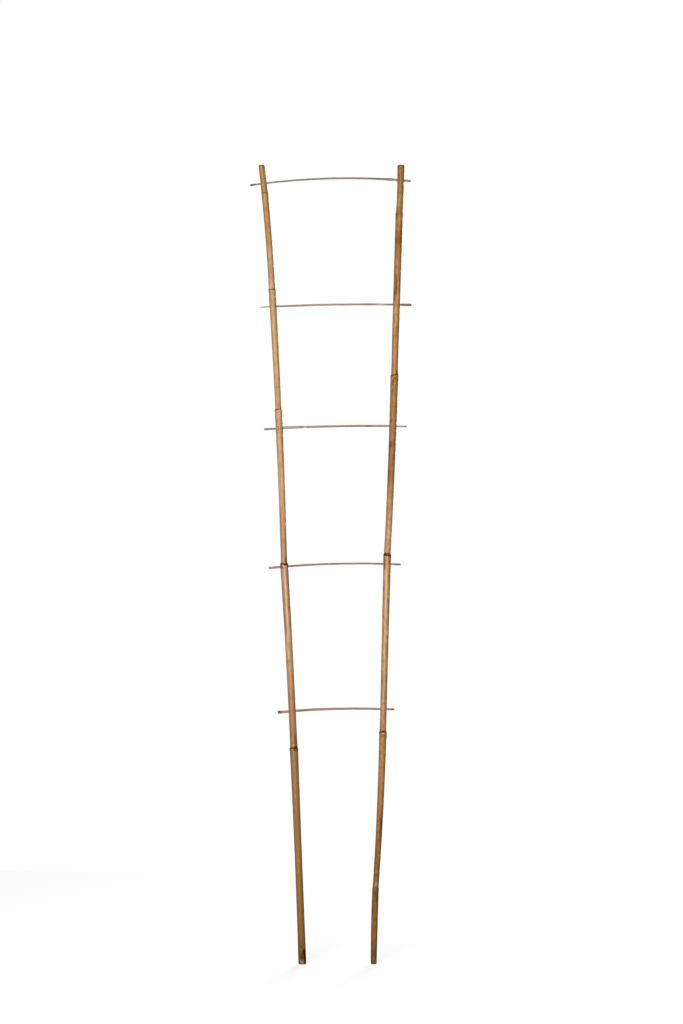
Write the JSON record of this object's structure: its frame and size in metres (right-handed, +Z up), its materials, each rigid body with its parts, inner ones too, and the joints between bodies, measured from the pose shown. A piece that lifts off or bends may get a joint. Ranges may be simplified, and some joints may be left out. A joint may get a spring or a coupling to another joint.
{
  "type": "bamboo ladder trellis",
  "caption": "Slim plant support shaped as a ladder: two natural bamboo canes splay towards the top, with thin bowed split-bamboo rungs pushed through holes in both.",
  "frame": {"origin": "on the ground, under the middle of the ladder's outline", "axes": "+Z up along the ladder, +X across it to the right as seen from the front, +Y to its back"},
  "size_m": [0.3035, 0.0197, 1.5],
  "materials": {
    "honey_culm": "dried bamboo culm, waxy satin skin, honey coloured",
    "tawny_culm": "dried bamboo culm, waxy satin skin, tawny",
    "split_bamboo": "split and scraped bamboo, weathered, dull"
  },
  "bodies": {
    "root": {"cane_left": "honey_culm", "cane_right": "tawny_culm", "rung_1": "split_bamboo", "rung_2": "split_bamboo", "rung_3": "split_bamboo", "rung_4": "split_bamboo", "rung_5": "split_bamboo"}
  },
  "joints": []
}
